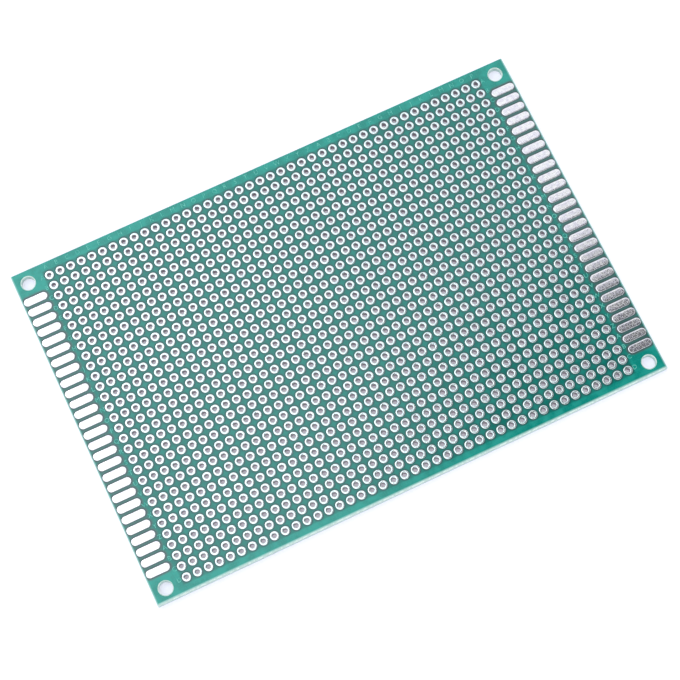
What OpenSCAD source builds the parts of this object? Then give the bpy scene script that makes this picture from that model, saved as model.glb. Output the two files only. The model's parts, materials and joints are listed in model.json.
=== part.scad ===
// Double-sided prototype board: a glass-epoxy laminate drilled with a square
// grid of plated holes, a row of finger pads along both short edges on both
// faces, one plain mounting hole in each corner, and green solder mask that
// stops just short of the pads, the mounting holes and the front edge.
//
// X runs along the board's length, Y along its width and Z up through its
// thickness. The origin is the middle of the underside. Sizes are in millimetres.

/* [Board] */
// Length of the board, along X
board_l = 120; // [80:1:200]
// Width of the board, along Y
board_w = 80; // [50:1:120]
// Thickness of the bare laminate
core_t = 1.5; // [0.8:0.1:3]

/* [Copper and mask] */
// Thickness of the tinned copper on each face
foil_t = 0.05; // [0.03:0.01:0.1]
// Thickness of the tinned copper on the wall of a drilled hole
plating_t = 0.05; // [0.02:0.01:0.1]
// Thickness of the solder mask on each face
mask_t = 0.05; // [0.02:0.01:0.1]
// Bare laminate left between a pad and the mask around it
mask_gap = 0.1; // [0.04:0.02:0.16]
// Bare laminate left between a mounting hole and the mask around it
mask_mount_gap = 0.2; // [0.2:0.05:0.5]
// Bare laminate left along the front edge, where the mask stops short of the cut
mask_front_gap = 0.3; // [0:0.05:0.4]

/* [Hole grid] */
// Distance between neighbouring holes, along and across the board
pitch = 2.54; // [2.4:0.02:5.08]
// Finished bore of a plated hole
lead_hole_d = 1; // [0.6:0.05:1.5]
// Outer diameter of the round pad at a plated hole
pad_d = 2; // [1.7:0.05:2.2]
// Least distance from the outer rows of pads to the long edges
row_margin = 2; // [1:0.1:6]
// Least distance from the outer columns of pads to the finger pads
column_margin = 1.1; // [0.5:0.1:6]

/* [Finger pads] */
// Length of a finger pad over its round ends, along X
finger_l = 5.5; // [2.5:0.1:9]
// Width of a finger pad, along Y
finger_w = 1.8; // [1:0.05:2.2]
// Distance from a finger pad to the short edge of the board
finger_edge_gap = 0.3; // [0.2:0.05:1.5]
// Least distance from a finger pad to a mounting hole
finger_hole_gap = 1; // [0.4:0.1:4]

/* [Mounting holes] */
// Diameter of a mounting hole
mount_hole_d = 3; // [2:0.1:4]
// Distance from a mounting hole's centre to the short edge
mount_inset_x = 3; // [2.5:0.1:4.5]
// Distance from a mounting hole's centre to the long edge
mount_inset_y = 2.9; // [2.5:0.1:4.5]

/* [Hidden] */
// Straight sides that stand for a full circle in a mesh
$fn = 32;

// Heights of the layers, from the underside up
skin_t = max(foil_t, mask_t);
core_z = skin_t;
core_top_z = core_z + core_t;

// The drill is wider than the finished bore by the plating on both sides
drill_d = lead_hole_d + 2 * plating_t;

// As many columns and rows as the board has room for, centred on it
grid_room_x = board_l - 2 * (finger_edge_gap + finger_l + column_margin) - pad_d;
grid_room_y = board_w - 2 * row_margin - pad_d;
columns = floor(grid_room_x / pitch) + 1;
rows = floor(grid_room_y / pitch) + 1;
first_x = -(columns - 1) * pitch / 2;
first_y = -(rows - 1) * pitch / 2;

// Distances of the mounting holes from the board's two centre lines
mount_x = board_l / 2 - mount_inset_x;
mount_y = board_w / 2 - mount_inset_y;

// Finger pads on each side of the one that lies on the board's centre line
finger_room_y = mount_y - mount_hole_d / 2 - finger_hole_gap - finger_w / 2;
fingers_each_side = floor(finger_room_y / pitch);
finger_x = board_l / 2 - finger_edge_gap - finger_l / 2;

MASK_GREEN = [0.12, 0.56, 0.50];
TIN = [0.86, 0.88, 0.91];
GLASS_EPOXY = [0.80, 0.86, 0.78];

// Rows are counted from the front edge, the one with the lowest Y
function row_name(row) = str("plated_row_", row < 10 ? "0" : "", row);

// Puts the child at every column of one row
module at_columns() {
    for (column = [0:columns - 1])
        translate([first_x + column * pitch, 0])
            children();
}

// Puts the child at every hole of the grid
module at_grid() {
    for (row = [0:rows - 1])
        translate([0, first_y + row * pitch])
            at_columns()
                children();
}

// Puts the child at the four mounting holes
module at_mounts() {
    for (x = [-mount_x, mount_x])
        for (y = [-mount_y, mount_y])
            translate([x, y])
                children();
}

// Puts the child at every finger pad of one short edge, left (-1) or right (1)
module at_fingers(side) {
    for (step = [-fingers_each_side:fingers_each_side])
        translate([side * finger_x, step * pitch])
            children();
}

module board_outline() {
    square([board_l, board_w], center = true);
}

// Outline of the mask, which reaches every edge of the board but the front one
module mask_outline() {
    translate([0, mask_front_gap / 2])
        square([board_l, board_w - mask_front_gap], center = true);
}

// Outline of a finger pad, grown by a border all round
module finger_outline(border = 0) {
    width = finger_w + 2 * border;
    straight_l = finger_l - finger_w;
    square([straight_l, width], center = true);
    for (end = [-1, 1])
        translate([end * straight_l / 2, 0])
            circle(d = width);
}

// The drilled glass-epoxy sheet that carries everything else
module substrate() {
    color(GLASS_EPOXY)
        translate([0, 0, core_z])
            linear_extrude(core_t)
                difference() {
                    board_outline();
                    at_grid() circle(d = drill_d);
                    at_mounts() circle(d = mount_hole_d);
                }
}

// Solder mask for one face, open round every pad and every mounting hole
module solder_mask() {
    color(MASK_GREEN)
        linear_extrude(mask_t)
            difference() {
                mask_outline();
                at_grid() circle(d = pad_d + 2 * mask_gap);
                at_fingers(-1) finger_outline(mask_gap);
                at_fingers(1) finger_outline(mask_gap);
                at_mounts() circle(d = mount_hole_d + 2 * mask_mount_gap);
            }
}

module solder_mask_top() {
    translate([0, 0, core_top_z])
        solder_mask();
}

module solder_mask_bottom() {
    translate([0, 0, core_z - mask_t])
        solder_mask();
}

// One plated hole: a barrel through the laminate with a flat ring on each face
module plated_hole() {
    bore_r = lead_hole_d / 2;
    drill_r = drill_d / 2;
    pad_r = pad_d / 2;
    low_z = core_z - foil_t;
    high_z = core_top_z + foil_t;
    rotate_extrude()
        polygon([
            [bore_r, low_z], [pad_r, low_z], [pad_r, core_z], [drill_r, core_z],
            [drill_r, core_top_z], [pad_r, core_top_z], [pad_r, high_z], [bore_r, high_z]
        ]);
}

// One row of plated holes along the board; they are separate from each other
module plated_row(row) {
    color(TIN)
        translate([0, first_y + (row - 1) * pitch, 0])
            at_columns()
                plated_hole();
}

// The finger pads of one short edge on one face, with their underside at z
module fingers(side, z) {
    color(TIN)
        translate([0, 0, z])
            linear_extrude(foil_t)
                at_fingers(side)
                    finger_outline();
}

substrate();
solder_mask_top();
solder_mask_bottom();
fingers(-1, core_top_z);  // fingers_left_top
fingers(-1, core_z - foil_t);  // fingers_left_bottom
fingers(1, core_top_z);  // fingers_right_top
fingers(1, core_z - foil_t);  // fingers_right_bottom
for (row = [1:rows])
    plated_row(row);
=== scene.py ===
"""Dresses the prototype board.

The board is a drilled sheet of glass-epoxy with green solder mask on both faces, a square grid of
tinned holes, tinned finger pads along both short edges and faint printed index letters. Everything is
in metres, in the board's own frame: X along its length, Y along its width, Z up through its thickness,
with the origin in the middle of the underside.
"""

import json
import logging
import math
import string
from dataclasses import dataclass, field
from enum import Enum
from typing import Any

import bpy
import numpy as np
from mathutils import Matrix, Vector

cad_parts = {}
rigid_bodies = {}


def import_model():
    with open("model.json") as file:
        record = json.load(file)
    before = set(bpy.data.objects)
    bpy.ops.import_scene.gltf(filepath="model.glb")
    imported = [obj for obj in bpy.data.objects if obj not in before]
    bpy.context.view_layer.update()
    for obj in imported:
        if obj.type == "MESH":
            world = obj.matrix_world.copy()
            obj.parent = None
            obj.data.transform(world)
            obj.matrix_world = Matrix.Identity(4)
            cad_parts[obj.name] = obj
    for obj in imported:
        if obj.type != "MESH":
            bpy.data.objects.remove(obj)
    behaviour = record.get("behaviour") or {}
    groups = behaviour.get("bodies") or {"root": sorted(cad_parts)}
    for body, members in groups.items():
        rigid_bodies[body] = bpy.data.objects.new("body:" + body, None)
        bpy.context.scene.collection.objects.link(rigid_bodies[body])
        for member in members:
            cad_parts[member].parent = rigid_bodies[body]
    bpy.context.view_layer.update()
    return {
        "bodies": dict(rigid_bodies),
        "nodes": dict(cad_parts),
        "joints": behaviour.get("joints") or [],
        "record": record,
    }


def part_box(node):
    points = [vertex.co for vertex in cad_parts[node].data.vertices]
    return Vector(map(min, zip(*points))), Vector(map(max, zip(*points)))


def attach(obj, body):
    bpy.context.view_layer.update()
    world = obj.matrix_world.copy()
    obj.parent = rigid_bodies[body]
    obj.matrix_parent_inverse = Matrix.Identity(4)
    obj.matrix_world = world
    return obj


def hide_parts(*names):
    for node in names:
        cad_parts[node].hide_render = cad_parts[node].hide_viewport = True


LOG = logging.getLogger("prototype_board")
MM = 0.001
BODY = "root"
TIN_SHARP_DEG = 50.0
FLAT_SHARP_DEG = 30.0

Colour = tuple[float, float, float, float]
Span = tuple[float, float]
Triple = tuple[float, float, float]

WHITE: Colour = (1.0, 1.0, 1.0, 1.0)


def tint(red: int, green: int, blue: int) -> Colour:
    """Turns a colour given as it is seen, 0 to 255, into the linear one that a shader takes.

    Args:
        red: Seen red.
        green: Seen green.
        blue: Seen blue.

    Returns:
        The linear colour with an alpha of 1.
    """
    seen = (red / 255, green / 255, blue / 255)
    linear = [v / 12.92 if v <= 0.04045 else ((v + 0.055) / 1.055) ** 2.4 for v in seen]
    return (linear[0], linear[1], linear[2], 1.0)


class Face(Enum):
    """The two faces of the board; the value is the way each one looks along Z."""

    TOP = 1
    BOTTOM = -1


class End(Enum):
    """The two short ends of the board; the value is the side of each one along X."""

    LEFT = -1
    RIGHT = 1


# --------------------------------------------------------------------------- sizes


@dataclass(frozen=True)
class BoardSizes:
    """Sizes of the board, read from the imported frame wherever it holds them.

    Attributes:
        length: Length of the board, along X.
        width: Width of the board, along Y.
        mask_front: Place of the mask's front edge along Y, just short of the board's own.
        core_low: Height of the laminate's lower face.
        core_high: Height of the laminate's upper face.
        mask_t: Thickness of the mask.
        foil_t: Thickness of the tinned copper on a face.
        pitch: Distance between neighbouring holes.
        pad_r: Radius of a round pad.
        bore_r: Radius of a finished bore.
        columns: Number of holes in a row.
        rows: Number of rows.
        finger_l: Length of a finger pad.
        finger_w: Width of a finger pad.
        finger_x: Distance from the board's middle to a finger pad's middle, along X.
        fingers: Number of finger pads at one end.
        mount_x: Distance from the board's middle to a corner hole, along X.
        mount_y: Distance from the board's middle to a corner hole, along Y.
        mount_r: Radius of a corner hole.
        mask_gap: Bare laminate between a pad and the mask round it.
        mask_mount_gap: Bare laminate between a corner hole and the mask round it.
        drill_r: Radius of a hole as drilled, before plating.
        ink_t: Thickness of the printed ink, which takes up the top of the mask's thickness.
    """

    length: float
    width: float
    mask_front: float
    core_low: float
    core_high: float
    mask_t: float
    foil_t: float
    pitch: float
    pad_r: float
    bore_r: float
    columns: int
    rows: int
    finger_l: float
    finger_w: float
    finger_x: float
    fingers: int
    mount_x: float
    mount_y: float
    mount_r: float
    mask_gap: float = 0.10 * MM
    mask_mount_gap: float = 0.20 * MM
    drill_r: float = 0.55 * MM
    ink_t: float = 0.01 * MM

    @classmethod
    def from_frame(cls, frame: dict[str, Any]) -> "BoardSizes":
        """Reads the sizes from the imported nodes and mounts.


        Returns:
            The board's sizes in metres.
        """
        mounts = {m["name"]: m for m in frame["record"]["mounts"]}
        corner = mounts["corner_holes"]["dims"]
        rows = [n for n in frame["nodes"] if n.startswith("plated_row_")]
        core_low, core_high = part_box("substrate")
        mask_low, mask_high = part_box("solder_mask_top")
        first_low, first_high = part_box("plated_row_01")
        second_low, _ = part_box("plated_row_02")
        finger_low, finger_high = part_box("fingers_right_top")
        pitch = second_low.y - first_low.y
        pad_d = first_high.y - first_low.y
        finger_run = finger_high.y - finger_low.y
        gaps = int(finger_run / pitch)
        return cls(
            length=core_high.x - core_low.x,
            width=core_high.y - core_low.y,
            mask_front=mask_low.y,
            core_low=core_low.z,
            core_high=core_high.z,
            mask_t=mask_high.z - mask_low.z,
            foil_t=finger_high.z - finger_low.z,
            pitch=pitch,
            pad_r=pad_d / 2,
            bore_r=mounts["lead_hole_front_left"]["dims"]["r_mm"] * MM,
            columns=round((first_high.x - first_low.x - pad_d) / pitch) + 1,
            rows=len(rows),
            finger_l=finger_high.x - finger_low.x,
            finger_w=finger_run - gaps * pitch,
            finger_x=(finger_high.x + finger_low.x) / 2,
            fingers=gaps + 1,
            mount_x=corner["spacing_x_mm"] / 2 * MM,
            mount_y=corner["spacing_y_mm"] / 2 * MM,
            mount_r=corner["hole_r_mm"] * MM,
        )

    def column_x(self) -> np.ndarray:
        """Returns the place of every column along X."""
        return (np.arange(self.columns) - (self.columns - 1) / 2) * self.pitch

    def row_y(self) -> np.ndarray:
        """Returns the place of every row along Y, from the front edge to the back."""
        return (np.arange(self.rows) - (self.rows - 1) / 2) * self.pitch

    def finger_y(self) -> np.ndarray:
        """Returns the place of every finger pad along Y."""
        return (np.arange(self.fingers) - (self.fingers - 1) / 2) * self.pitch

    def coat_t(self) -> float:
        """Returns the mask's thickness without the ink that is printed on it."""
        return self.mask_t - self.ink_t

    def finger_outline(self, inset: float, end_sides: int) -> np.ndarray:
        """Draws a finger pad's outline round the origin.

        Args:
            inset: Distance by which the outline is drawn in, or grown where it is below 0.
            end_sides: Straight sides to one round end.

        Returns:
            The outline's corners as rows of X and Y.
        """
        radius = self.finger_w / 2 - inset
        half = (self.finger_l - self.finger_w) / 2
        bend = np.linspace(-math.pi / 2, math.pi / 2, end_sides + 1)
        right = np.stack([half + radius * np.cos(bend), radius * np.sin(bend)], 1)
        return np.concatenate([right, -right])


# --------------------------------------------------------------------------- meshes


def add_object(name: str, data: bpy.types.ID) -> bpy.types.Object:
    """Puts a new object that holds the given data into the scene, and returns it."""
    made = bpy.data.objects.new(name, data)
    bpy.context.collection.objects.link(made)
    return made


def mesh_of(drawing: bpy.types.Curve) -> bpy.types.Mesh:
    """Turns a drawn outline or letter into a filled, closed mesh.

    Args:
        drawing: The curve or the lettering.

    Returns:
        The mesh.
    """
    sketch = add_object(drawing.name + "_drawing", drawing)
    bpy.context.view_layer.update()
    held = sketch.evaluated_get(bpy.context.evaluated_depsgraph_get())
    mesh = bpy.data.meshes.new_from_object(held)
    bpy.data.objects.remove(sketch)
    return mesh


def band(upper: int, lower: int, sides: int) -> list[tuple[int, ...]]:
    """Spans four-sided faces between two rings of vertices.

    Args:
        upper: Number of one ring.
        lower: Number of the other one.
        sides: Vertices to a ring.

    Returns:
        Vertex numbers of each face.
    """
    faces = []
    for side in range(sides):
        ahead = (side + 1) % sides
        faces.append(
            (upper * sides + side, upper * sides + ahead, lower * sides + ahead, lower * sides + side)
        )
    return faces


@dataclass
class Shell:
    """A surface as plain arrays, which can be copied about before it becomes a piece.

    Attributes:
        points: One row of X, Y, Z for each vertex.
        faces: Vertex numbers of each face.
    """

    points: np.ndarray
    faces: list[tuple[int, ...]]

    @classmethod
    def joined(cls, shells: list["Shell"]) -> "Shell":
        """Puts several shells into one, each still whole by itself.

        Args:
            shells: The shells to join.

        Returns:
            One shell that holds them all.
        """
        faces: list[tuple[int, ...]] = []
        start = 0
        for shell in shells:
            faces += [tuple(start + i for i in face) for face in shell.faces]
            start += len(shell.points)
        return cls(np.concatenate([s.points for s in shells]), faces)

    def moved(self, x: float, y: float, z: float = 0.0) -> "Shell":
        """Returns a copy of the shell, moved by the given distances."""
        return Shell(self.points + np.array([x, y, z]), self.faces)

    def piece(self, name: str, material: bpy.types.Material, sharp_deg: float) -> bpy.types.Object:
        """Makes the shell a piece of the scene, smooth apart from its sharp edges.

        Args:
            name: Name of the piece.
            material: Material that it wears.
            sharp_deg: Angle between two faces, in degrees, from which their edge is sharp.

        Returns:
            The new object.
        """
        mesh = bpy.data.meshes.new(name)
        mesh.from_pydata(self.points.tolist(), [], self.faces)
        mesh.validate()
        mesh.shade_smooth()
        mesh.set_sharp_from_angle(angle=math.radians(sharp_deg))
        mesh.materials.append(material)
        return add_object(name, mesh)


def settle(piece: bpy.types.Object, slot: str, *nodes: str) -> None:
    """Fixes a finished piece to the board and hides the CAD nodes that it replaces.

    Args:
        piece: The piece, already in its place.
        slot: The record's material slot that its finish belongs to; not used.
        *nodes: The CAD nodes that it replaces, if any.
    """
    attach(piece, BODY)
    if nodes:
        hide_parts(*nodes)
    LOG.info("%s: %d faces", piece.name, len(piece.data.polygons))


# --------------------------------------------------------------------------- finishes


class ShaderSketch:
    """A node tree being wired up, one node at a time."""

    def __init__(self, owner: bpy.types.Material | bpy.types.World) -> None:
        """Empties the owner's node tree.

        Args:
            owner: The material or world that the nodes are for.
        """
        owner.use_nodes = True
        self.tree = owner.node_tree
        self.tree.nodes.clear()

    def node(self, kind: str, inputs: dict[str | int, Any], **settings: Any) -> bpy.types.Node:
        """Adds a node, and sets or links its inputs.

        Args:
            kind: Type of the node, without its ShaderNode prefix.
            inputs: A value or an output socket for each input, by name or number.
            **settings: The node's own settings.

        Returns:
            The new node.
        """
        made = self.tree.nodes.new(f"ShaderNode{kind}")
        for name, value in settings.items():
            setattr(made, name, value)
        for name, value in inputs.items():
            if isinstance(value, bpy.types.NodeSocket):
                self.tree.links.new(value, made.inputs[name])
            else:
                made.inputs[name].default_value = value
        return made

    def place(self) -> bpy.types.NodeSocket:
        """Returns the socket that gives each point's place on the board, in metres."""
        return self.node("TexCoord", {}).outputs["Object"]

    def axes(self, vector: bpy.types.NodeSocket) -> dict[str, bpy.types.NodeSocket]:
        """Returns a vector's X, Y and Z, each a socket of its own."""
        return dict(self.node("SeparateXYZ", {"Vector": vector}).outputs.items())

    def combine(self, **axes: bpy.types.NodeSocket) -> bpy.types.NodeSocket:
        """Returns the vector with the given X, Y and Z; an axis that isn't given is 0."""
        return self.node("CombineXYZ", axes).outputs["Vector"]

    def sum(self, operation: str, *terms: Any) -> bpy.types.NodeSocket:
        """Returns the result of one sum on plain values, such as ADD or MAXIMUM."""
        return self.node("Math", dict(enumerate(terms)), operation=operation).outputs[0]

    def vector(self, operation: str, *terms: Any) -> bpy.types.NodeSocket:
        """Returns the result of one sum on vectors; a length comes out as a plain value."""
        made = self.node("VectorMath", dict(enumerate(terms)), operation=operation)
        return made.outputs["Value" if operation in ("LENGTH", "DOT_PRODUCT") else "Vector"]

    def noise(self, size: float, detail: float, vector: bpy.types.NodeSocket) -> bpy.types.NodeSocket:
        """Adds soft random mottling.

        Args:
            size: Distance across one patch, in metres.
            detail: How many finer layers lie over it.
            vector: Where the pattern is read.

        Returns:
            A value from 0 to 1.
        """
        made = self.node("TexNoise", {"Vector": vector, "Scale": 1 / size, "Detail": detail})
        return made.outputs["Fac"]

    def spread(
        self, value: bpy.types.NodeSocket, low: float, high: float, to_low: float, to_high: float
    ) -> bpy.types.NodeSocket:
        """Maps one span of values onto another, clamped and eased at both ends.

        Args:
            value: What is mapped.
            low: Value that becomes to_low.
            high: Value that becomes to_high.
            to_low: Lowest result.
            to_high: Highest result.

        Returns:
            The mapped value.
        """
        made = self.node(
            "MapRange",
            {"Value": value, "From Min": low, "From Max": high, "To Min": to_low, "To Max": to_high},
            interpolation_type="SMOOTHSTEP",
        )
        return made.outputs["Result"]

    def blend(
        self, share: bpy.types.NodeSocket | float, first: Any, second: Any, way: str = "MIX"
    ) -> bpy.types.NodeSocket:
        """Mixes two colours.

        Args:
            share: How much of the second colour shows, 0 to 1.
            first: Colour or socket at 0.
            second: Colour or socket at 1.
            way: How the second lies over the first: MIX covers it, MULTIPLY darkens it.

        Returns:
            The mixed colour.
        """
        # Several sockets of this node share a name; these numbers are the ones for colours
        made = self.node("Mix", {0: share, 6: first, 7: second}, data_type="RGBA", blend_type=way)
        return made.outputs[2]

    def bump(
        self, height: bpy.types.NodeSocket, depth: float, under: bpy.types.NodeSocket | None = None
    ) -> bpy.types.NodeSocket:
        """Raises a pattern in relief.

        Args:
            height: The pattern, 0 to 1.
            depth: Height of its peaks, in metres.
            under: The bent normal of the relief that this one lies on, if there is one.

        Returns:
            The bent normal.
        """
        inputs = {"Height": height, "Distance": depth, "Strength": 1.0}
        if under is not None:
            inputs["Normal"] = under
        return self.node("Bump", inputs).outputs["Normal"]

    def close(self, shader: bpy.types.NodeSocket, kind: str = "OutputMaterial") -> None:
        """Ends the tree with the given shader as its surface."""
        self.node(kind, {"Surface": shader})

    def surface(self, inputs: dict[str | int, Any]) -> None:
        """Ends the tree with one ordinary surface that has the given inputs."""
        self.close(self.node("BsdfPrincipled", inputs).outputs["BSDF"])


@dataclass(frozen=True)
class PadMap:
    """Finds how far a point of the board's face is from the nearest pad, for the finishes.

    Attributes:
        sizes: Sizes of the board.
    """

    sizes: BoardSizes

    def from_hole(self, sketch: ShaderSketch) -> bpy.types.NodeSocket:
        """Adds the distance from the centre of the nearest hole of the grid.

        Args:
            sketch: The tree that it goes into.

        Returns:
            The distance in metres.
        """
        sizes = self.sizes
        last = (sizes.columns / 2 - 1, sizes.rows / 2 - 1, 0.0)
        first = (-sizes.columns / 2, -sizes.rows / 2, 0.0)
        flat = sketch.vector("MULTIPLY", sketch.place(), (1 / sizes.pitch, 1 / sizes.pitch, 0.0))
        cell = sketch.vector("MAXIMUM", sketch.vector("FLOOR", flat), first)
        centre = sketch.vector("ADD", sketch.vector("MINIMUM", cell, last), (0.5, 0.5, 0.0))
        away = sketch.vector("LENGTH", sketch.vector("SUBTRACT", flat, centre))
        return sketch.sum("MULTIPLY", away, sizes.pitch)

    def from_finger(self, sketch: ShaderSketch) -> bpy.types.NodeSocket:
        """Adds the distance from the middle line of the nearest finger pad.

        Args:
            sketch: The tree that it goes into.

        Returns:
            The distance in metres.
        """
        sizes = self.sizes
        half_line = (sizes.finger_l - sizes.finger_w) / 2
        folded = sketch.axes(sketch.vector("ABSOLUTE", sketch.place()))
        nearest = sketch.sum("ROUND", sketch.sum("DIVIDE", folded["Y"], sizes.pitch))
        row = sketch.sum("MINIMUM", nearest, (sizes.fingers - 1) / 2)
        across = sketch.sum("SUBTRACT", folded["Y"], sketch.sum("MULTIPLY", row, sizes.pitch))
        along = sketch.sum("ABSOLUTE", sketch.sum("SUBTRACT", folded["X"], sizes.finger_x))
        beyond = sketch.sum("MAXIMUM", sketch.sum("SUBTRACT", along, half_line), 0.0)
        return sketch.vector("LENGTH", sketch.combine(X=beyond, Y=across))

    def from_field(self, sketch: ShaderSketch) -> bpy.types.NodeSocket:
        """Adds the distance outwards from the two crossed rectangles that the pads fill.

        Args:
            sketch: The tree that it goes into.

        Returns:
            The distance in metres, below 0 between the pads.
        """
        sizes = self.sizes
        corners = [
            (sizes.column_x()[-1] + sizes.pad_r, sizes.row_y()[-1] + sizes.pad_r, 0.0),
            (sizes.finger_x + sizes.finger_l / 2, sizes.finger_y()[-1] + sizes.finger_w / 2, 0.0),
        ]
        folded = sketch.vector("ABSOLUTE", sketch.place())
        away = []
        for corner in corners:
            past = sketch.axes(sketch.vector("SUBTRACT", folded, corner))
            away.append(sketch.sum("MAXIMUM", past["X"], past["Y"]))
        return sketch.sum("MINIMUM", *away)

    def from_pad(self, sketch: ShaderSketch) -> bpy.types.NodeSocket:
        """Adds the distance from the rim of the nearest pad of either kind.

        Args:
            sketch: The tree that it goes into.

        Returns:
            The distance in metres, below 0 on a pad.
        """
        from_round = sketch.sum("SUBTRACT", self.from_hole(sketch), self.sizes.pad_r)
        from_long = sketch.sum("SUBTRACT", self.from_finger(sketch), self.sizes.finger_w / 2)
        return sketch.sum("MINIMUM", from_round, from_long)

    def from_edge(self, sketch: ShaderSketch) -> bpy.types.NodeSocket:
        """Adds the distance inwards from the nearer of the short edges and the mask's front edge.

        Args:
            sketch: The tree that it goes into.

        Returns:
            The distance in metres.
        """
        place = sketch.place()
        outwards = sketch.axes(sketch.vector("ABSOLUTE", place))["X"]
        from_end = sketch.sum("SUBTRACT", self.sizes.length / 2, outwards)
        from_front = sketch.sum("SUBTRACT", sketch.axes(place)["Y"], self.sizes.mask_front)
        return sketch.sum("MINIMUM", from_end, from_front)


@dataclass(frozen=True)
class TinFinish:
    """Hot-levelled tin: bright metal that froze in flat crystals, with painted shade in the bores and
    along the rims.

    Attributes:
        pads: Where the pads and bores lie.
        name: Name of the material.
        bright: Colour of clean tin.
        dull: Colour where it froze grainy.
        dulling: Values of the ripples between which it turns from bright to dull.
        bore_shade: Painted shade on the wall of a bore: a darker tin colour that stands in for the
            shade down in it.
        bore_shade_edge: Width over which that painted shade fades at the mouth of a bore.
        rim: Painted shade along the rim of a pad: a dark outline on the tin that stands in for the
            shade at the pad's edge.
        rim_share: Share of that colour on the very rim.
        rim_w: Width over which it fades.
        metal: Share of the light that the metal throws back as a mirror does.
        smooth: Roughness of the smoothest patches.
        rough: Roughness of the roughest ones.
        grain: Distance across one rough or smooth patch.
        grading: Values of the grain between which it turns from smooth to rough.
        ripple: Distance across one frozen ripple.
        ripple_h: Height of the ripples.
        crystal: Distance across one crystal.
        seam: Width of the raised seam between two crystals, as a share of a crystal.
        seam_h: Height of the seams.
    """

    pads: PadMap
    name: str
    bright: Colour = tint(238, 254, 255)
    dull: Colour = tint(226, 246, 255)
    dulling: Span = (0.40, 0.62)
    bore_shade: Colour = tint(132, 125, 131)
    bore_shade_edge: float = 0.09 * MM
    rim: Colour = tint(112, 142, 146)
    rim_share: float = 0.8
    rim_w: float = 0.10 * MM
    metal: float = 0.86
    smooth: float = 0.08
    rough: float = 0.14
    grain: float = 0.3 * MM
    grading: Span = (0.3, 0.7)
    ripple: float = 0.9 * MM
    ripple_h: float = 0.006 * MM
    crystal: float = 0.7 * MM
    seam: float = 0.06
    seam_h: float = 0.0022 * MM

    def material(self) -> bpy.types.Material:
        """Returns the tin as a material."""
        made = bpy.data.materials.new(self.name)
        sketch = ShaderSketch(made)
        place = sketch.place()
        ripple = sketch.noise(self.ripple, detail=1.0, vector=place)
        grain = sketch.noise(self.grain, detail=1.0, vector=place)
        dullness = sketch.spread(ripple, *self.dulling, 0.0, 1.0)
        colour = sketch.blend(dullness, self.bright, self.dull)
        mouth = self.pads.sizes.bore_r
        # Painted shade: the wall of each bore is darkened to stand in for the shade down in it.
        inside = sketch.spread(self.pads.from_hole(sketch), mouth, mouth + self.bore_shade_edge, 1.0, 0.0)
        colour = sketch.blend(inside, colour, self.bore_shade)
        # Painted shade: a dark outline along each pad's rim stands in for the shade at the pad's edge.
        rim_shading = sketch.spread(self.pads.from_pad(sketch), -self.rim_w, 0.0, 0.0, self.rim_share)
        colour = sketch.blend(rim_shading, colour, self.rim)
        crystals = sketch.node(
            "TexVoronoi", {"Vector": place, "Scale": 1 / self.crystal}, feature="DISTANCE_TO_EDGE"
        )
        seams = sketch.spread(crystals.outputs["Distance"], 0.0, self.seam, 1.0, 0.0)
        sketch.surface(
            {
                "Base Color": colour,
                "Metallic": self.metal,
                "Roughness": sketch.spread(grain, *self.grading, self.smooth, self.rough),
                "Normal": sketch.bump(seams, self.seam_h, sketch.bump(ripple, self.ripple_h)),
            }
        )
        return made


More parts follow.
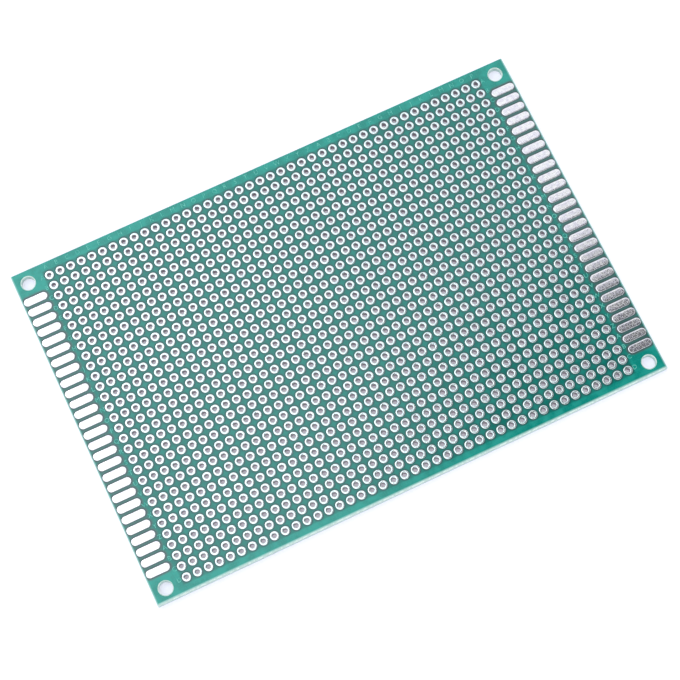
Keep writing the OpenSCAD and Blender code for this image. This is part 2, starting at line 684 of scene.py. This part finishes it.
@dataclass(frozen=True)
class MaskFinish:
    """Glossy green solder mask, through which the glass weave just shows.

    Attributes:
        pads: Where the pads lie.
        deep: Colour where the mask is thick.
        thin: Colour where it is thin.
        thinning: Values of the patches between which it turns from deep to thin.
        between: Share of each colour that is left between the pads, where the copper dims it.
        between_w: Distance outside the pads' field over which that fades.
        patch: Distance across one thick or thin patch.
        thread: Distance from one glass thread to the next.
        wander: How much the threads wander.
        weave_h: Height of the weave under the mask.
        weave_seen: Greatest share of the thin colour over the threads.
        weave_span: Values of the weave between which that share rises.
        speck: Distance across one fine speck.
        specks_seen: Greatest share of the thin colour in a speck.
        speck_span: Values of the specks between which that share rises.
        pad_shade: Painted shade round each pad: a dark ring on the mask that stands in for the shade at
            the pad's edge.
        pad_shade_w: Distance from a pad over which that fades.
        shaded: Colour of the narrow strips between the finger pads.
        shade: Share of that colour beside a finger pad.
        shade_w: Distance from a finger pad over which it fades.
        chipped: Colour along the short edges and the front edge, where the mask has been bruised.
        chip_w: Distance from such an edge over which that fades.
        gloss: Colour that the surface gives to the light it mirrors.
        mirror: Strength of the mirroring, where 0.5 is that of plain plastic.
        smooth: Roughness of the smoothest patches.
        rough: Roughness of the roughest ones.
        grading: Values of the patches between which it turns from smooth to rough.
        varnish: Share of the surface that shines like clear varnish.
        varnish_rough: Roughness of that shine.
        varnish_ior: How strongly the varnish bends light.
    """

    pads: PadMap
    deep: Colour = tint(6, 128, 117)
    thin: Colour = tint(22, 147, 135)
    thinning: Span = (0.35, 0.65)
    between: Colour = (0.55, 0.68, 0.68, 1.0)
    between_w: float = 0.5 * MM
    patch: float = 2.4 * MM
    thread: float = 0.5 * MM
    wander: float = 0.6
    weave_h: float = 0.0025 * MM
    weave_seen: float = 0.35
    weave_span: Span = (0.2, 1.0)
    speck: float = 0.3 * MM
    specks_seen: float = 0.5
    speck_span: Span = (0.5, 0.7)
    pad_shade: Colour = tint(34, 86, 84)
    pad_shade_w: float = 0.6 * MM
    shaded: Colour = tint(88, 82, 88)
    shade: float = 0.55
    shade_w: float = 0.8 * MM
    chipped: Colour = tint(164, 208, 203)
    chip_w: float = 0.38 * MM
    gloss: Colour = (0.54, 0.89, 0.89, 1.0)
    mirror: float = 1.0
    smooth: float = 0.10
    rough: float = 0.17
    grading: Span = (0.3, 0.7)
    varnish: float = 0.2
    varnish_rough: float = 0.08
    varnish_ior: float = 1.5

    def weave(self, sketch: ShaderSketch, place: bpy.types.NodeSocket) -> bpy.types.NodeSocket:
        """Adds two crossing sets of threads.

        Args:
            sketch: The tree that they go into.
            place: Where the pattern is read.

        Returns:
            The weave's height, 0 to 1.
        """
        bands_in_a_unit = 20 / (2 * math.pi)
        threads = [
            sketch.node(
                "TexWave",
                {
                    "Vector": place,
                    "Scale": 1 / (self.thread * bands_in_a_unit),
                    "Distortion": self.wander,
                },
                bands_direction=direction,
            ).outputs["Fac"]
            for direction in ("X", "Y")
        ]
        return sketch.sum("MULTIPLY", *threads)

    def open_mask(
        self, sketch: ShaderSketch, weave: bpy.types.NodeSocket, patches: bpy.types.NodeSocket
    ) -> bpy.types.NodeSocket:
        """Adds the colour of open mask, before pads and edges change it.

        Args:
            sketch: The tree that it goes into.
            weave: The weave's height.
            patches: The pattern of thick and thin patches.

        Returns:
            The colour.
        """
        specks = sketch.noise(self.speck, detail=2.0, vector=sketch.place())
        thinness = sketch.spread(patches, *self.thinning, 0.0, 1.0)
        colour = sketch.blend(thinness, self.deep, self.thin)
        threads = sketch.spread(weave, *self.weave_span, 0.0, self.weave_seen)
        colour = sketch.blend(threads, colour, self.thin)
        specks = sketch.spread(specks, *self.speck_span, 0.0, self.specks_seen)
        return sketch.blend(specks, colour, self.thin)

    def near_pads(self, sketch: ShaderSketch, colour: bpy.types.NodeSocket) -> bpy.types.NodeSocket:
        """Darkens the mask between the pads, paints shade beside them and changes its colour along its
        bruised edges.

        Args:
            sketch: The tree that it goes into.
            colour: Colour of the open mask.

        Returns:
            The changed colour.
        """
        pads = self.pads
        dimmed = sketch.spread(pads.from_field(sketch), 0.0, self.between_w, 1.0, 0.0)
        colour = sketch.blend(dimmed, colour, self.between, "MULTIPLY")
        # Painted shade: a dark ring on the mask round each pad stands in for the shade at the pad's
        # edge.
        pad_shading = sketch.spread(pads.from_pad(sketch), 0.0, self.pad_shade_w, 0.0, 1.0)
        colour = sketch.blend(pad_shading, self.pad_shade, colour)
        side = pads.sizes.finger_w / 2
        shade = sketch.spread(pads.from_finger(sketch), side, side + self.shade_w, self.shade, 0.0)
        colour = sketch.blend(shade, colour, self.shaded)
        chips = sketch.spread(pads.from_edge(sketch), 0.0, self.chip_w, 1.0, 0.0)
        return sketch.blend(chips, colour, self.chipped)

    def material(self) -> bpy.types.Material:
        """Returns the mask as a material."""
        made = bpy.data.materials.new("solder_mask")
        sketch = ShaderSketch(made)
        place = sketch.place()
        weave = self.weave(sketch, place)
        patches = sketch.noise(self.patch, detail=3.0, vector=place)
        sketch.surface(
            {
                "Base Color": self.near_pads(sketch, self.open_mask(sketch, weave, patches)),
                "Roughness": sketch.spread(patches, *self.grading, self.smooth, self.rough),
                "Specular IOR Level": self.mirror,
                "Specular Tint": self.gloss,
                "Coat Weight": self.varnish,
                "Coat Roughness": self.varnish_rough,
                "Coat IOR": self.varnish_ior,
                "Normal": sketch.bump(weave, self.weave_h),
            }
        )
        return made


@dataclass(frozen=True)
class LaminateFinish:
    """Bare glass-epoxy: pale and fibrous at its cut edges, with painted shade in the rings round the
    pads.

    Attributes:
        pads: Where the pads lie.
        cut: Colour of a cut edge.
        fibre: Colour of the glass bundles in it.
        ring: Painted shade in the narrow rings that the mask leaves open round the pads, a dark colour
            standing in for the shade in these gaps.
        ring_w: Width of the zone round a pad that is taken for its ring.
        ply: Thickness of one layer of glass.
        lay: How fast the layers change along X, Y and Z, next to their change through the board.
        streaking: Values of the layers between which resin turns to fibre.
        fray: Distance across one frayed patch.
        fray_h: Depth of the fraying.
        rough: Roughness of the cut.
    """

    pads: PadMap
    cut: Colour = tint(186, 212, 208)
    fibre: Colour = tint(212, 232, 228)
    ring: Colour = tint(34, 74, 76)
    ring_w: float = 0.14 * MM
    ply: float = 0.18 * MM
    lay: Triple = (0.25, 0.25, 1.0)
    streaking: Span = (0.4, 0.6)
    fray: float = 0.35 * MM
    fray_h: float = 0.02 * MM
    rough: float = 0.6

    def material(self) -> bpy.types.Material:
        """Returns the laminate as a material."""
        made = bpy.data.materials.new("laminate")
        sketch = ShaderSketch(made)
        place = sketch.place()
        plies = sketch.noise(self.ply, detail=1.0, vector=sketch.vector("MULTIPLY", place, self.lay))
        frays = sketch.noise(self.fray, detail=3.0, vector=place)
        streaks = sketch.spread(plies, *self.streaking, 0.0, 1.0)
        edge = sketch.blend(streaks, self.cut, self.fibre)
        # Painted shade: the bare rings round the pads are darkened to stand in for the shade in these
        # narrow gaps.
        ring_shading = sketch.spread(self.pads.from_pad(sketch), self.ring_w, 2 * self.ring_w, 1.0, 0.0)
        sketch.surface(
            {
                "Base Color": sketch.blend(ring_shading, edge, self.ring),
                "Roughness": self.rough,
                "Normal": sketch.bump(frays, self.fray_h),
            }
        )
        return made


@dataclass(frozen=True)
class InkFinish:
    """Thin pale ink, printed on the mask and half worn into it.

    Attributes:
        full: Colour of a full print.
        faint: Colour where the mask shows through.
        patch: Distance across one faint patch.
        wearing: Values of the patches between which the print turns from full to faint.
        rough: Roughness of the ink.
    """

    full: Colour = tint(94, 187, 174)
    faint: Colour = tint(50, 161, 148)
    patch: float = 0.6 * MM
    wearing: Span = (0.4, 0.6)
    rough: float = 0.45

    def material(self) -> bpy.types.Material:
        """Returns the ink as a material."""
        made = bpy.data.materials.new("index_ink")
        sketch = ShaderSketch(made)
        patches = sketch.noise(self.patch, detail=2.0, vector=sketch.place())
        wear = sketch.spread(patches, *self.wearing, 0.0, 1.0)
        colour = sketch.blend(wear, self.full, self.faint)
        sketch.surface({"Base Color": colour, "Roughness": self.rough})
        return made


# --------------------------------------------------------------------------- pieces


@dataclass
class Substrate:
    """The drilled sheet of glass-epoxy, whose shape is already right in the frame.

    Attributes:
        sheet: The CAD node of the sheet.
        finish: The laminate's material.
    """

    sheet: bpy.types.Object
    finish: bpy.types.Material

    def build(self) -> None:
        """Dresses the sheet, which keeps its shape."""
        self.sheet.data.materials.clear()
        self.sheet.data.materials.append(self.finish)
        LOG.info("substrate: dressed")


@dataclass
class PlatedRows:
    """The grid of tinned holes, one piece for each row.

    Attributes:
        sizes: Sizes of the board.
        finish: The tin.
        sides: Straight sides to a circle.
        swell: Points of the tin's swell over a pad, as shares: how far in from the rim towards the
            bore, and how high.
        fullness: Least and greatest height of a swell, as a share of the tin's thickness.
        lean: Least and greatest share by which a swell is lower on one side.
        seed: Start of the random draws.
    """

    sizes: BoardSizes
    finish: bpy.types.Material
    sides: int = 22
    swell: tuple[Span, ...] = ((0.0, 0.0), (0.05, 0.60), (0.20, 0.95), (0.80, 0.95), (1.0, 0.36))
    fullness: Span = (0.75, 1.0)
    lean: Span = (0.0, 0.35)
    seed: int = 7

    def crown(self) -> list[Span]:
        """Returns the tin's swell over one pad, as radius and share of the tin's height."""
        ring_w = self.sizes.pad_r - self.sizes.bore_r
        return [(self.sizes.pad_r - inwards * ring_w, height) for inwards, height in self.swell]

    def hole(self, fullness: float, lean: float, heading: float) -> Shell:
        """Builds one tinned hole round the origin: both crowns, the bore and the hidden barrel.

        Args:
            fullness: Height of the tin's swell, as a share of its greatest height.
            lean: How much lower the swell is on one side, as a share.
            heading: The side that is lower, in radians.

        Returns:
            The closed surface.
        """
        sizes = self.sizes
        turn = np.arange(self.sides) * 2 * math.pi / self.sides
        height = sizes.foil_t * fullness * (1 - lean * (0.5 + 0.5 * np.cos(turn - heading)))
        rings = [(r, sizes.core_high + share * height) for r, share in self.crown()]
        rings += [(r, sizes.core_low - share * height) for r, share in reversed(self.crown())]
        rings += [
            (sizes.drill_r, np.full(self.sides, sizes.core_low)),
            (sizes.drill_r, np.full(self.sides, sizes.core_high)),
        ]
        points = np.concatenate(
            [np.stack([r * np.cos(turn), r * np.sin(turn), z], 1) for r, z in rings]
        )
        faces: list[tuple[int, ...]] = []
        for ring in range(len(rings)):
            faces += band(ring, (ring + 1) % len(rings), self.sides)
        return Shell(points, faces)

    def build(self) -> None:
        """Builds and dresses every row; no two holes froze quite alike."""
        rng = np.random.default_rng(self.seed)
        for number, y in enumerate(self.sizes.row_y(), start=1):
            holes = []
            for x in self.sizes.column_x():
                fullness = rng.uniform(*self.fullness)
                lean = rng.uniform(*self.lean)
                heading = rng.uniform(0, 2 * math.pi)
                holes.append(self.hole(fullness, lean, heading).moved(x, y))
            piece = Shell.joined(holes).piece(f"tinned_row_{number:02d}", self.finish, TIN_SHARP_DEG)
            settle(piece, "tin", f"plated_row_{number:02d}")


@dataclass
class FingerPads:
    """The tinned finger pads, one piece for each end of each face.

    Attributes:
        sizes: Sizes of the board.
        finish: The tin.
        end_sides: Straight sides to one round end.
        swell: Points of the tin's swell, as shares: how far in from the rim towards the middle
            line, and how high.
    """

    sizes: BoardSizes
    finish: bpy.types.Material
    end_sides: int = 10
    swell: tuple[Span, ...] = ((0.0, 0.0), (0.03, 0.58), (0.10, 0.88), (0.20, 0.98), (0.45, 1.0))

    def pad(self, face: Face) -> Shell:
        """Builds one finger pad round the origin.

        Args:
            face: The face of the board that it lies on.

        Returns:
            The closed surface.
        """
        sizes = self.sizes
        base = sizes.core_high if face is Face.TOP else sizes.core_low
        rings = []
        for inwards, height in self.swell:
            line = sizes.finger_outline(inwards * sizes.finger_w / 2, self.end_sides)
            level = base + face.value * height * sizes.foil_t
            rings.append(np.column_stack([line, np.full(len(line), level)]))
        count = len(rings[0])
        faces: list[tuple[int, ...]] = []
        for ring in range(len(rings) - 1):
            faces += band(ring, ring + 1, count)
        last = (len(rings) - 1) * count
        faces.append(tuple(range(last, last + count)))
        faces.append(tuple(reversed(range(count))))
        if face is Face.BOTTOM:
            faces = [tuple(reversed(f)) for f in faces]
        return Shell(np.concatenate(rings), faces)

    def build(self) -> None:
        """Builds and dresses the pads of both ends on both faces."""
        for end in End:
            for face in Face:
                x = end.value * self.sizes.finger_x
                pads = [self.pad(face).moved(x, y) for y in self.sizes.finger_y()]
                name = f"{end.name.lower()}_{face.name.lower()}"
                piece = Shell.joined(pads).piece(f"tinned_fingers_{name}", self.finish, TIN_SHARP_DEG)
                settle(piece, "tin", f"fingers_{name}")


@dataclass
class SolderMask:
    """The green mask on both faces, open round every pad.

    Attributes:
        sizes: Sizes of the board.
        finish: The mask's material.
        pad_sides: Straight sides to the opening round a pad.
        mount_sides: Straight sides to the opening round a corner hole.
        end_sides: Straight sides to the round end of a finger pad's opening.
    """

    sizes: BoardSizes
    finish: bpy.types.Material
    pad_sides: int = 22
    mount_sides: int = 48
    end_sides: int = 10

    @staticmethod
    def circle(x: float, y: float, radius: float, sides: int) -> np.ndarray:
        """Returns a circle's corners as rows of X and Y."""
        turn = np.arange(sides) * 2 * math.pi / sides
        return np.stack([x + radius * np.cos(turn), y + radius * np.sin(turn)], 1)

    def outlines(self) -> list[np.ndarray]:
        """Returns the board's outline and every opening in the mask."""
        sizes = self.sizes
        half_l, front, back = sizes.length / 2, sizes.mask_front, sizes.width / 2
        lines = [np.array([(-half_l, front), (half_l, front), (half_l, back), (-half_l, back)])]
        for x in sizes.column_x():
            for y in sizes.row_y():
                lines.append(self.circle(x, y, sizes.pad_r + sizes.mask_gap, self.pad_sides))
        fingers = sizes.finger_outline(-sizes.mask_gap, self.end_sides)
        for end in End:
            for y in sizes.finger_y():
                lines.append(fingers + np.array([end.value * sizes.finger_x, y]))
        for x in (-sizes.mount_x, sizes.mount_x):
            for y in (-sizes.mount_y, sizes.mount_y):
                lines.append(self.circle(x, y, sizes.mount_r + sizes.mask_mount_gap, self.mount_sides))
        return lines

    def sheet(self, name: str, middle_z: float) -> bpy.types.Object:
        """Builds one sheet of mask as a filled outline with openings, given its thickness.

        Args:
            name: Name of the piece.
            middle_z: Height of the middle of the sheet.

        Returns:
            The new object.
        """
        drawing = bpy.data.curves.new(name, "CURVE")
        drawing.dimensions = "2D"
        drawing.fill_mode = "BOTH"
        drawing.extrude = self.sizes.coat_t() / 2
        for line in self.outlines():
            spline = drawing.splines.new("POLY")
            spline.points.add(len(line) - 1)
            flat = np.column_stack([line, np.zeros(len(line)), np.ones(len(line))])
            spline.points.foreach_set("co", flat.ravel())
            spline.use_cyclic_u = True
        filled = mesh_of(drawing)
        filled.transform(Matrix.Translation((0, 0, middle_z)))
        filled.name = name
        filled.materials.clear()
        filled.materials.append(self.finish)
        return add_object(name, filled)

    def build(self) -> None:
        """Builds and dresses both sheets."""
        sizes = self.sizes
        top = self.sheet("mask_top", sizes.core_high + sizes.coat_t() / 2)
        settle(top, "solder_mask", "solder_mask_top")
        bottom = self.sheet("mask_bottom", sizes.core_low - sizes.coat_t() / 2)
        settle(bottom, "solder_mask", "solder_mask_bottom")


@dataclass
class IndexLetters:
    """Plain index letters beside the grid: one for each column, one for each row at both ends.

    Attributes:
        sizes: Sizes of the board.
        finish: The ink.
        size: Size of the lettering, as fonts are measured.
        row_gap: Distance from the outer column's centre to its letters.
        column_gap: Distance from the back row's centre to its letters.
        steps: Straight steps between two points of a letter's curves.
        glyphs: The letters made so far.
    """

    sizes: BoardSizes
    finish: bpy.types.Material
    size: float = 1.45 * MM
    row_gap: float = 1.64 * MM
    column_gap: float = 2.12 * MM
    steps: int = 2
    glyphs: dict[str, Shell] = field(default_factory=dict)

    def glyph(self, letter: str) -> Shell:
        """Returns one letter as a thin closed shell round the origin, made on its first use."""
        if letter not in self.glyphs:
            text = bpy.data.curves.new("letter_" + letter, "FONT")
            text.body = letter
            text.size = self.size
            text.align_x = "CENTER"
            text.align_y = "CENTER"
            text.resolution_u = self.steps
            text.extrude = self.sizes.ink_t / 2
            mesh = mesh_of(text)
            points = np.array([v.co for v in mesh.vertices])
            self.glyphs[letter] = Shell(points, [tuple(p.vertices) for p in mesh.polygons])
            bpy.data.meshes.remove(mesh)
        return self.glyphs[letter]

    def build(self) -> None:
        """Builds and dresses the lettering as one piece."""
        sizes = self.sizes
        face_z = sizes.core_high + sizes.coat_t() + sizes.ink_t / 2
        letters = string.ascii_uppercase
        xs, ys = sizes.column_x(), sizes.row_y()
        placed = []
        for number, x in enumerate(xs):
            glyph = self.glyph(letters[number % len(letters)])
            placed.append(glyph.moved(x, ys[-1] + self.column_gap, face_z))
        for number, y in enumerate(reversed(ys)):
            glyph = self.glyph(letters[number % len(letters)])
            placed.append(glyph.moved(xs[0] - self.row_gap, y, face_z))
            placed.append(glyph.moved(xs[-1] + self.row_gap, y, face_z))
        piece = Shell.joined(placed).piece("index_letters", self.finish, FLAT_SHARP_DEG)
        settle(piece, "solder_mask")


# --------------------------------------------------------------------------- studio


@dataclass(frozen=True)
class CameraStand:
    """Where the camera stands over the board, in millimetres from the middle of its underside.

    Attributes:
        eye: Place of the camera.
        aim: Point on the board's top face that it looks at.
        roll_deg: Turn of the camera about its own line of sight, clockwise as it sees it.
        lens: Focal length.
        sensor: Width of the sensor.
        near: Least distance at which it sees anything.
        far: Greatest distance at which it does.
    """

    eye: Triple = (-46.14, -113.98, 417.67)
    aim: Triple = (-0.96, -4.01, 1.6)
    roll_deg: float = 3.08
    lens: float = 105.8
    sensor: float = 36.0
    near: float = 10.0
    far: float = 10000.0

    def build(self) -> None:
        """Puts up the camera."""
        data = bpy.data.cameras.new("camera")
        data.lens = self.lens
        data.sensor_width = self.sensor
        data.clip_start = self.near * MM
        data.clip_end = self.far * MM
        camera = add_object("camera", data)
        eye, aim = Vector(self.eye) * MM, Vector(self.aim) * MM
        upright = (aim - eye).to_track_quat("-Z", "Y").to_matrix().to_4x4()
        roll = Matrix.Rotation(-math.radians(self.roll_deg), 4, "Z")
        camera.matrix_world = Matrix.Translation(eye) @ upright @ roll
        bpy.context.scene.camera = camera


@dataclass(frozen=True)
class Studio:
    """A white table in a white room, whose ceiling is brighter on the left and has one dark spot.

    Attributes:
        table_size: Side of the table.
        table_drop: How far the table lies under the board, so that their faces don't coincide.
        table_white: Colour of the table.
        table_lift: Light that the table is given to look at, so that it is as white as paper.
        fall: Direction along the ceiling in which it gets dimmer.
        bright_level: Light of the ceiling's bright side, where the room's walls give 1.
        dim_level: Light of its dim side.
        bright_run: Run of a sight line along the fall, for each metre up, where the dimming starts.
        dim_run: Run at which it ends.
        wall_top: Rise of a sight line, as a share of its length, at which the walls end.
        ceiling_start: Rise at which the ceiling has fully taken over.
        spot_run: Middle of the dark spot, as the run of a sight line along X and Y for each metre up.
        spot_core: Distance from its middle, in the same measure, at which the spot starts to fade.
        spot_edge: Distance at which it has faded out.
        spot_reach: How many times further the spot reaches to the right and to the front.
        spot_level: Share of the light that is left in the middle of the spot.
        lowest_rise: Least rise that a run is worked out for, above the horizon.
        key_power: Power of the soft lamp.
        key_size: Side of the soft lamp.
        key_place: Place of the soft lamp.
    """

    table_size: float = 4.0
    table_drop: float = 0.01 * MM
    table_white: Colour = (0.70, 0.72, 0.82, 1.0)
    table_lift: Colour = (0.34, 0.32, 0.36, 1.0)
    fall: Triple = (1.0, 0.5, 0.0)
    bright_level: float = 1.5
    dim_level: float = 0.94
    bright_run: float = 0.15
    dim_run: float = 0.37
    wall_top: float = 0.80
    ceiling_start: float = 0.92
    spot_run: Triple = (0.25, 0.07, 0.0)
    spot_core: float = 0.15
    spot_edge: float = 0.205
    spot_reach: float = 1.5
    spot_level: float = 0.02
    lowest_rise: float = 0.02
    key_power: float = 0.6
    key_size: float = 0.3
    key_place: Triple = (-0.25, 0.35, 0.5)

    def seen(self, sketch: ShaderSketch) -> bpy.types.NodeSocket:
        """Returns 1 for what the camera sees, by itself or through gloss and glass, and 0 for light."""
        path = sketch.node("LightPath", {}).outputs
        either = sketch.sum("MAXIMUM", path["Is Camera Ray"], path["Is Glossy Ray"])
        return sketch.sum("MAXIMUM", either, path["Is Transmission Ray"])

    def table(self) -> None:
        """Lays the white table."""
        half, z = self.table_size / 2, -self.table_drop
        points = np.array([(-half, -half, z), (half, -half, z), (half, half, z), (-half, half, z)])
        material = bpy.data.materials.new("table")
        sketch = ShaderSketch(material)
        paper = sketch.node("BsdfDiffuse", {"Color": self.table_white})
        glow = sketch.node("Emission", {"Color": self.table_lift, "Strength": self.seen(sketch)})
        sketch.close(sketch.node("AddShader", {0: paper.outputs[0], 1: glow.outputs[0]}).outputs[0])
        Shell(points, [(0, 1, 2, 3)]).piece("table", material, FLAT_SHARP_DEG)

    def ceiling(self, sketch: ShaderSketch, way: bpy.types.NodeSocket) -> bpy.types.NodeSocket:
        """Adds the light of the ceiling, which gives way to plain white walls lower down.

        Args:
            sketch: The tree that it goes into.
            way: Direction that is looked in.

        Returns:
            The light as a colour, all of its channels alike.
        """
        rise = sketch.axes(way)["Z"]
        along = sketch.vector("DOT_PRODUCT", way, self.fall)
        run = sketch.sum("DIVIDE", along, sketch.sum("MAXIMUM", rise, self.wall_top))
        overhead = sketch.spread(run, self.bright_run, self.dim_run, self.bright_level, self.dim_level)
        share = sketch.spread(rise, self.wall_top, self.ceiling_start, 0.0, 1.0)
        return sketch.blend(share, WHITE, overhead)

    def spot(self, sketch: ShaderSketch, way: bpy.types.NodeSocket) -> bpy.types.NodeSocket:
        """Adds the dark spot in the ceiling, longer towards the right and the front.

        Args:
            sketch: The tree that it goes into.
            way: Direction that is looked in.

        Returns:
            The share of the light that the spot leaves.
        """
        rise = sketch.sum("MAXIMUM", sketch.axes(way)["Z"], self.lowest_rise)
        run = sketch.vector("DIVIDE", way, sketch.combine(X=rise, Y=rise, Z=rise))
        away = sketch.axes(sketch.vector("SUBTRACT", run, self.spot_run))
        right = sketch.sum("MINIMUM", away["X"], sketch.sum("DIVIDE", away["X"], self.spot_reach))
        front = sketch.sum("MAXIMUM", away["Y"], sketch.sum("DIVIDE", away["Y"], self.spot_reach))
        apart = sketch.vector("LENGTH", sketch.combine(X=right, Y=front))
        return sketch.spread(apart, self.spot_core, self.spot_edge, self.spot_level, 1.0)

    def room(self) -> None:
        """Lights the room, with the dark spot in its ceiling."""
        world = bpy.data.worlds.new("room")
        bpy.context.scene.world = world
        sketch = ShaderSketch(world)
        way = sketch.vector("NORMALIZE", sketch.node("TexCoord", {}).outputs["Generated"])
        light = sketch.node(
            "Background", {"Color": self.ceiling(sketch, way), "Strength": self.spot(sketch, way)}
        )
        sketch.close(light.outputs[0], "OutputWorld")

    def key(self) -> None:
        """Hangs the soft lamp over the back left corner."""
        data = bpy.data.lights.new("key", "AREA")
        data.energy = self.key_power
        data.size = self.key_size
        place = Vector(self.key_place)
        turned = (-place).to_track_quat("-Z", "Y").to_matrix().to_4x4()
        add_object("key", data).matrix_world = Matrix.Translation(place) @ turned

    def build(self) -> None:
        """Sets up the table and the lights."""
        bpy.context.scene.view_settings.view_transform = "Standard"
        self.table()
        self.room()
        self.key()


def main() -> None:
    """Builds the dressed board piece by piece, then the studio round it."""
    logging.basicConfig(level=logging.INFO, format="%(name)s: %(message)s")
    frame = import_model()
    sizes = BoardSizes.from_frame(frame)
    pads = PadMap(sizes)
    CameraStand().build()
    pad_tin = TinFinish(pads, "pad_tin", ripple=0.5 * MM, ripple_h=0.014 * MM).material()
    finger_tin = TinFinish(
        pads, "finger_tin", bright=tint(248, 249, 255), dull=tint(236, 236, 250)
    ).material()
    Substrate(frame["nodes"]["substrate"], LaminateFinish(pads).material()).build()
    SolderMask(sizes, MaskFinish(pads).material()).build()
    PlatedRows(sizes, pad_tin).build()
    FingerPads(sizes, finger_tin).build()
    IndexLetters(sizes, InkFinish().material()).build()
    Studio().build()


if __name__ == "__main__":
    main()
